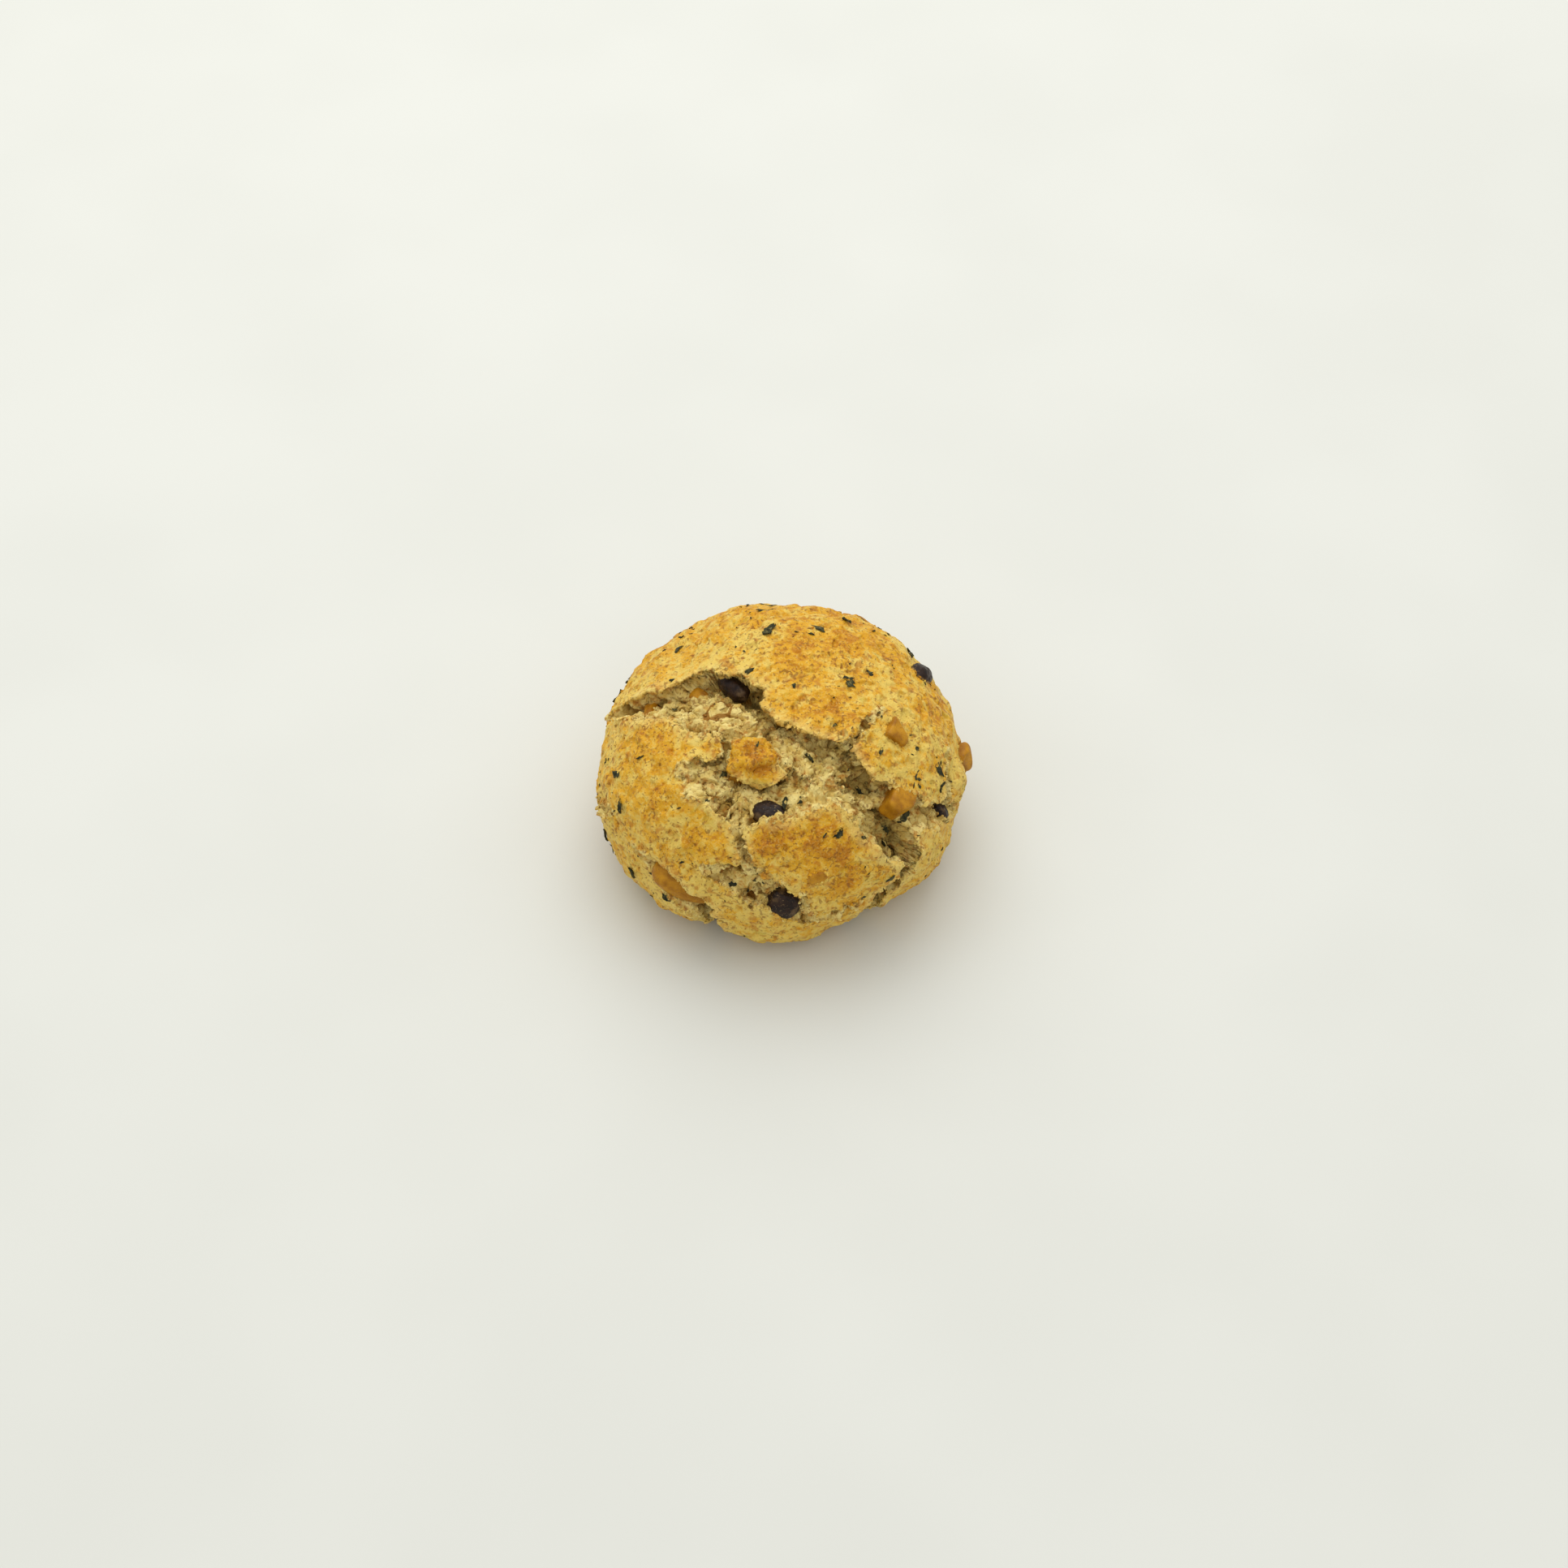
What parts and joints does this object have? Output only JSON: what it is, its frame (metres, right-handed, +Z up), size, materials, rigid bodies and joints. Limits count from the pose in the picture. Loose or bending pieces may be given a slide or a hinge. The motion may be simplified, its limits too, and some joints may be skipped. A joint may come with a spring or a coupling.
{
  "type": "scone",
  "caption": "Small round drop scone, torn open along the top, with chocolate chips, nut pieces and leaf flakes set in the dough.",
  "frame": {"origin": "middle of the scone's bounding box in plan, at the flat foot", "axes": "+Z up, out of the flat foot; -Y towards the torn side with the fissure, +X to the right when that side is seen from the front"},
  "size_m": [0.0726, 0.0712, 0.0438],
  "materials": {
    "dough": "baked scone dough: matte crust, browned on top, with pale torn crumb and dark green leaf flakes",
    "chocolate": "dark chocolate, satin",
    "nut": "roasted nut, satin"
  },
  "bodies": {
    "root": {"dough": "dough", "chip_1": "chocolate", "chip_2": "chocolate", "chip_3": "chocolate", "chip_4": "chocolate", "chip_5": "chocolate", "chip_6": "chocolate", "nut_half": "nut", "nut_cube": "nut", "nut_chunk": "nut", "nut_edge": "nut", "nut_sliver": "nut", "nut_bit": "nut", "nut_slit": "nut", "nut_inner": "nut", "nut_back": "nut"}
  },
  "joints": []
}
